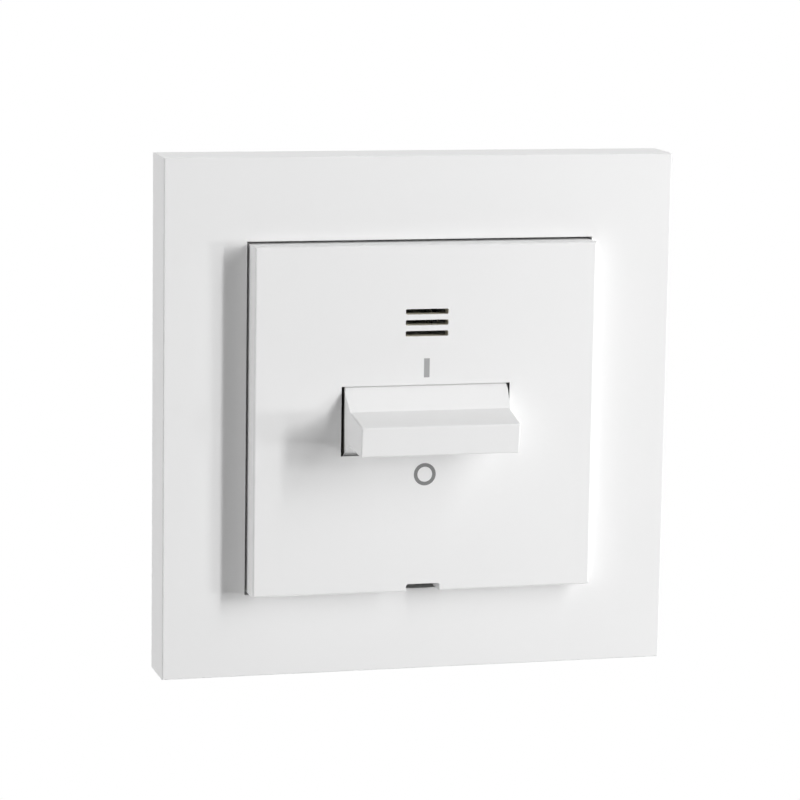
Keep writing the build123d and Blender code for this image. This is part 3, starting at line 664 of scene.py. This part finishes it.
def turned(name, profile, steps=48):
    """A closed solid of revolution about +Z from (radius, height) points, first and last on the axis."""
    work = bmesh.new()
    rings = []
    for radius, height in profile:
        points = circle((0, 0), radius, steps) if radius else [(0, 0)]
        rings.append([work.verts.new((x, y, height)) for x, y in points])
    for lower, upper in zip(rings, rings[1:]):
        for i in range(steps):
            j = (i + 1) % steps
            below = [lower[k % len(lower)] for k in (i, j)]
            above = [upper[k % len(upper)] for k in (j, i)]
            work.faces.new(list(dict.fromkeys(below + above)))
    bmesh.ops.recalc_face_normals(work, faces=work.faces)
    return kept(work, name)


def soften(mesh, degrees=35):
    """Shades a mesh smooth, except along edges sharper than an angle."""
    work = bmesh.new()
    work.from_mesh(mesh)
    for face in work.faces:
        face.smooth = True
    for edge in work.edges:
        edge.smooth = len(edge.link_faces) == 2 and edge.calc_face_angle() < math.radians(degrees)
    work.to_mesh(mesh)
    work.free()


def joined(meshes):
    """One mesh out of several."""
    work = bmesh.new()
    for mesh in meshes:
        work.from_mesh(mesh)
    return kept(work, meshes[0].name)


# %% Screws
SQUARE = ((-1, -1), (1, -1), (1, 1), (-1, 1))
CUTTER_RISE = 0.2
CROSS_TAPER = 0.55
THREAD_CORNERS = 4


def drive_cutter(name, head_radius, head_height):
    """What the slot and the cross take out of a head: one long box and two short tapered ones."""
    slot_reach, slot_half, slot_depth = 1.2 * head_radius, 0.13 * head_radius, 0.5 * head_height
    cross_reach, cross_half, cross_depth = 0.55 * head_radius, 0.12 * head_radius, 0.8 * head_height
    work = bmesh.new()
    for half_x, half_y, depth, taper in (
        (slot_reach, slot_half, slot_depth, 1.0),
        (cross_reach, cross_half, cross_depth, CROSS_TAPER),
        (cross_half, cross_reach, cross_depth, CROSS_TAPER),
    ):
        top = [work.verts.new((a * half_x, b * half_y, CUTTER_RISE)) for a, b in SQUARE]
        low = [work.verts.new((a * half_x * taper, b * half_y * taper, -depth)) for a, b in SQUARE]
        work.faces.new(top)
        work.faces.new(low[::-1])
        for i in range(4):
            j = (i + 1) % 4
            work.faces.new((top[j], top[i], low[i], low[j]))
    bmesh.ops.recalc_face_normals(work, faces=work.faces)
    return kept(work, name)


def screw_mesh(name, head_radius, head_height, radius, length, pitch, material):
    """A screw along +Z with the underside of its head at zero and its point below."""
    core, point, rim = 0.82 * radius, 0.35 * radius, 0.22 * head_height
    crest = 0.3 * pitch + 0.1 * radius
    threaded = length - radius - 2 * crest
    arc = [
        (head_radius - rim + rim * math.sin(a), head_height - rim + rim * math.cos(a))
        for a in [i * math.pi / 8 for i in range(5)]
    ]
    profile = [(0, head_height)] + arc + [(head_radius, 0.0), (core, 0.0), (core, radius - length)]
    profile += [(point, -length), (0, -length)]
    body = add_object(name + "_body", turned(name, profile))
    cutter = add_object(name + "_cutter", drive_cutter(name + "_cut", head_radius, head_height))
    cutter.location.z = head_height
    cut = body.modifiers.new("drive", "BOOLEAN")
    cut.object, cut.operation, cut.solver, cut.use_self = cutter, "DIFFERENCE", "EXACT", True
    evaluated = body.evaluated_get(bpy.context.evaluated_depsgraph_get())
    cut_body = bpy.data.meshes.new_from_object(evaluated)
    for thing in (body, cutter):
        bpy.data.objects.remove(thing)
    thread = helix(
        name + "_thread", threaded / pitch, radius - crest, threaded, 0.0, crest, THREAD_CORNERS, material
    )
    thread.transform(Matrix.Translation((0, 0, radius - length)))
    whole = joined([cut_body, thread])
    soften(whole)
    return whole


# head radius, head height, radius, length and pitch, in mm
CLAW_BOLT = (2.5, 1.9, 1.5, 20.1, 0.5)
COVER_BOLT = (1.8, 1.3, 1.1, 11.1, 0.8)
# piece: (node, sizes, for each screw the middle of its head's underside in mm and the turn of its slot)
SCREWS = {
    "claw_bolt_left": ("claw_screw_left", CLAW_BOLT, [((-21.2, -1.1, 0.0), 0.45)]),
    "claw_bolt_right": ("claw_screw_right", CLAW_BOLT, [((21.2, -1.1, 0.0), 1.1)]),
    "cover_bolts": ("cover_screws", COVER_BOLT, [((-16.4, -3.1, 14.0), 0.2), ((16.4, -3.1, -14.0), 0.9)]),
}
TOWARDS_FRONT = (0, -1, 0)
for name, (node, sizes, heads) in SCREWS.items():
    meshes = [
        moved(screw_mesh(name, *sizes, zinc_steel), head, TOWARDS_FRONT, slot_turn)
        for head, slot_turn in heads
    ]
    piece = add_object(name, joined(meshes))
    piece.data.materials.append(zinc_steel)
    stands_for(piece, node)
    print(name, "faces", len(piece.data.polygons))

# %% [markdown]
# ### The pilot lamp
#
# A small neon lamp lies behind the three slots. Its tube is drawn to a point at each end, where the leads
# are sealed in, and inside it two bare wires lie side by side, a fraction of a millimetre apart.

# %% Pilot lamp
LAMP_CENTRE = (0.0, -6.3, 15.3)
LAMP_AXIS = (1, 0, 0)
LAMP_HALF = 4.5
LAMP_RADIUS = 1.8
GLASS_WALL = 0.35
GLASS_END = 0.9
OUTER_TIP = 0.35
INNER_TIP = 0.2
GLASS_EDGE_DEGREES = 50
ELECTRODE_RADIUS = 0.25
ELECTRODE_GAP = 0.3
ELECTRODE_CORNERS = 16
LEAD_RADIUS = 0.6 * ELECTRODE_RADIUS
# a thin lead that comes in through the tip, then the thicker rod with a blunt end
ELECTRODE_PROFILE = [
    (0, -LAMP_HALF + 0.2),
    (LEAD_RADIUS, -LAMP_HALF + 0.2),
    (LEAD_RADIUS, -LAMP_HALF + 1.2),
    (ELECTRODE_RADIUS, -LAMP_HALF + 1.3),
    (ELECTRODE_RADIUS, 1.6),
    (0.7 * ELECTRODE_RADIUS, 1.8),
    (0, 1.85),
]


def tube_profile(half, radius, tip):
    """Half a lamp's outline, from one pointed end to the other, as (radius, height) points."""
    shoulder, bulge, point = half - 1.3 * radius, 0.9 * radius, half - 0.1 * radius
    bend = [
        (radius * math.cos(a), shoulder + bulge * math.sin(a))
        for a in [i * math.pi / 10 for i in range(5)]
    ]
    upper = bend + [(tip, point), (0, half)]
    return [(r, -h) for r, h in reversed(upper)] + upper


outer = turned("tube_outer", tube_profile(LAMP_HALF, LAMP_RADIUS, OUTER_TIP))
inner = turned("tube_inner", tube_profile(LAMP_HALF - GLASS_END, LAMP_RADIUS - GLASS_WALL, INNER_TIP))
inner.flip_normals()
tube_mesh = joined([outer, inner])
soften(tube_mesh, GLASS_EDGE_DEGREES)
tube = add_object("lamp_tube", moved(tube_mesh, LAMP_CENTRE, LAMP_AXIS))
tube.data.materials.append(glass)
stands_for(tube, "pilot_lamp")

rods = []
for sign in SIDES:
    rod = turned("rod", ELECTRODE_PROFILE, ELECTRODE_CORNERS)
    if sign > 0:
        rod.transform(Matrix.Rotation(math.pi, 4, "X"))
    rod.transform(Matrix.Translation((0, sign * (ELECTRODE_RADIUS + ELECTRODE_GAP / 2), 0)))
    rods.append(rod)
electrode_mesh = joined(rods)
soften(electrode_mesh)
electrodes = add_object("lamp_electrodes", moved(electrode_mesh, LAMP_CENTRE, LAMP_AXIS))
electrodes.data.materials.append(spring_steel)
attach(electrodes, BODY_OF_NODE["pilot_lamp"])
print("lamp faces", len(tube_mesh.polygons), "electrodes", len(electrode_mesh.polygons))

# %% [markdown]
# ## The two marks
#
# An upright stroke above the lever and a ring below it are printed on the plate in grey ink. They say on and
# off. A print has hardly any thickness, so each is a thin sheet just proud of the plate, which gives it a
# crisp edge at any distance.

# %% Marks
INK_THICKNESS = 0.02 * MM
PLATE_FACE_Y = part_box("centre_plate")[0].y
STROKE_CENTRE = (0.05, 8.15)
STROKE_SIZE = (0.9, 3.0)
RING_CENTRE = (0.0, -8.75)
RING_OUTER_RADIUS = 3.55 / 2
RING_INNER_RADIUS = 2.4 / 2
RING_STEPS = 96
SPECKLE_MM = 0.15
THIN_INK = 1.15
INK_ROUGHNESS = 0.6


def printed_ink(name, colour):
    """Matt pad-printing ink: a flat grey with a slight speckle where the ink is thin."""
    material, tree = empty_material(name)
    place = add_node(tree, "ShaderNodeTexCoord")
    speckle = add_node(
        tree,
        "ShaderNodeTexNoise",
        {"Scale": 1 / (SPECKLE_MM * MM), "Detail": 2.0},
        {"Vector": place.outputs["Object"]},
    )
    base = linear(colour)
    thin = tuple(min(1, c * THIN_INK) for c in base[:3]) + (1,)
    shade = add_node(
        tree, "ShaderNodeMix", {"data_type": "RGBA", 6: base, 7: thin}, {0: speckle.outputs["Fac"]}
    )
    shader = add_node(
        tree, "ShaderNodeBsdfPrincipled", {"Roughness": INK_ROUGHNESS}, {"Base Color": shade.outputs[2]}
    )
    add_node(tree, "ShaderNodeOutputMaterial", {}, {"Surface": shader.outputs[0]})
    return material


def sheet_from_loops(name, outer, inner=None):
    """A thin sheet on the plate's face, bounded by one loop of (x, z) points, or by two with a hole."""
    work = bmesh.new()
    loops = {}
    for label, points in (("outer", outer), ("inner", inner or [])):
        for depth, y in (("front", PLATE_FACE_Y - INK_THICKNESS), ("back", PLATE_FACE_Y)):
            loops[label + "_" + depth] = [work.verts.new((x * MM, y, z * MM)) for x, z in points]
    strips = [("outer_front", "outer_back")]
    if inner:
        strips.append(("inner_back", "inner_front"))
        strips += [("outer_" + depth, "inner_" + depth) for depth in ("front", "back")]
    for i in range(len(outer)):
        j = (i + 1) % len(outer)
        for first, second in strips:
            work.faces.new((loops[first][i], loops[first][j], loops[second][j], loops[second][i]))
    if not inner:
        work.faces.new(loops["outer_front"])
        work.faces.new(loops["outer_back"])
    bmesh.ops.recalc_face_normals(work, faces=work.faces)
    return add_object(name, kept(work, name))


half_width, half_height = STROKE_SIZE[0] / 2, STROKE_SIZE[1] / 2
stroke_corners = [
    (STROKE_CENTRE[0] + a * half_width, STROKE_CENTRE[1] + b * half_height)
    for a, b in SQUARE
]
stroke_ink = printed_ink("stroke_ink", "#a0a0a1")
ring_ink = printed_ink("ring_ink", "#7b7b7b")
on_mark = sheet_from_loops("on_mark", stroke_corners)
off_mark = sheet_from_loops(
    "off_mark",
    circle(RING_CENTRE, RING_OUTER_RADIUS, RING_STEPS),
    circle(RING_CENTRE, RING_INNER_RADIUS, RING_STEPS),
)
for mark, ink in ((on_mark, stroke_ink), (off_mark, ring_ink)):
    mark.data.materials.append(ink)
    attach(mark, "insert")
print("marks printed at y", round(PLATE_FACE_Y / MM, 2), "mm")
